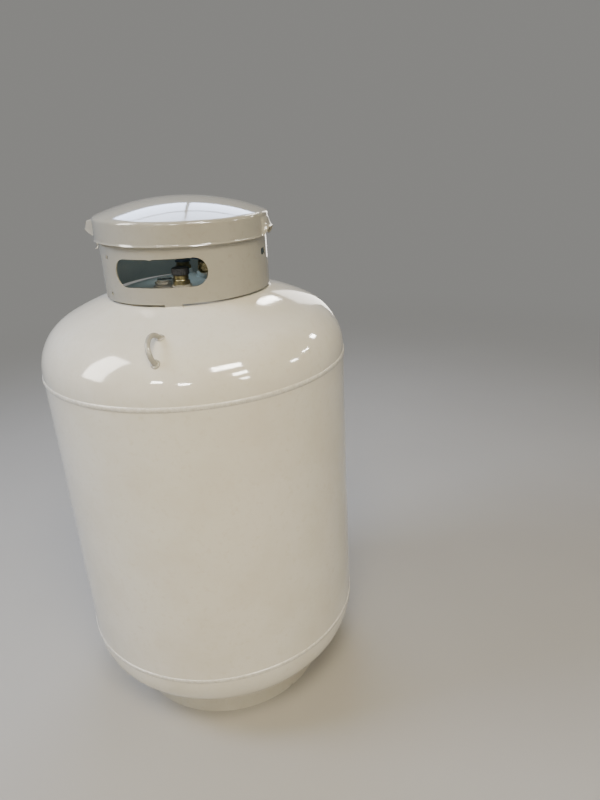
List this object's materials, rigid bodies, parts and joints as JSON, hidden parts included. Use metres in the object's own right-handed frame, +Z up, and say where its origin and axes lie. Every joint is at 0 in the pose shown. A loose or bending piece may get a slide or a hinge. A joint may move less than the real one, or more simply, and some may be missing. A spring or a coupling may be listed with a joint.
{
  "type": "upright pressure tank",
  "caption": "Upright welded steel tank for liquefied gas on a foot ring, with a valve collar, window and hinged domed lid.",
  "frame": {"origin": "centre of the foot ring on the floor", "axes": "+Z up along the tank's axis, -Y out through the middle of the collar's window"},
  "size_m": [0.767, 0.767, 1.3563],
  "materials": {
    "white_paint": "gloss",
    "brass": "satin",
    "zinc_steel": "satin",
    "cap_plastic": "matte",
    "wheel_paint": "satin",
    "dial_face": "matte",
    "lens": "gloss"
  },
  "bodies": {
    "tank": {"foot_ring": "white_paint", "foot_welds": "white_paint", "bottom_head": "white_paint", "lower_girth_weld": "white_paint", "shell": "white_paint", "seam_weld": "white_paint", "upper_girth_weld": "white_paint", "top_head": "white_paint", "front_lifting_lug": "white_paint", "rear_lifting_lug": "white_paint", "collar_front_plate": "white_paint", "collar_right_plate": "white_paint", "collar_rear_plate": "white_paint", "collar_left_plate": "white_paint", "collar_foot_welds": "white_paint", "hinge_bracket": "white_paint", "hinge_bolt": "zinc_steel", "hinge_nut": "zinc_steel", "service_coupling": "white_paint", "service_valve": "brass", "valve_bonnet": "brass", "valve_stem": "zinc_steel", "wheel_nut": "zinc_steel", "filler_coupling": "white_paint", "filler_valve": "brass", "filler_cap": "cap_plastic", "gauge_coupling": "white_paint", "gauge_flange": "zinc_steel", "gauge_dial": "dial_face", "gauge_lens": "lens", "relief_coupling": "white_paint", "relief_valve": "brass", "relief_cap": "cap_plastic"},
    "lid": {"lid": "white_paint", "hinge_leaf": "white_paint"},
    "handwheel": {"handwheel": "wheel_paint"}
  },
  "joints": [
    {"name": "lid_hinge", "type": "hinge", "parent": "tank", "child": "lid", "pos_m": [-0.21487, 0.0075, 1.25404], "axis": [-0.0349, -0.9994, 0], "range_deg": [0, 105]},
    {"name": "valve_turn", "type": "hinge", "parent": "tank", "child": "handwheel", "pos_m": [0.042, 0.015, 1.21031], "axis": [0, 0, 1], "range_deg": [0, 720]}
  ]
}
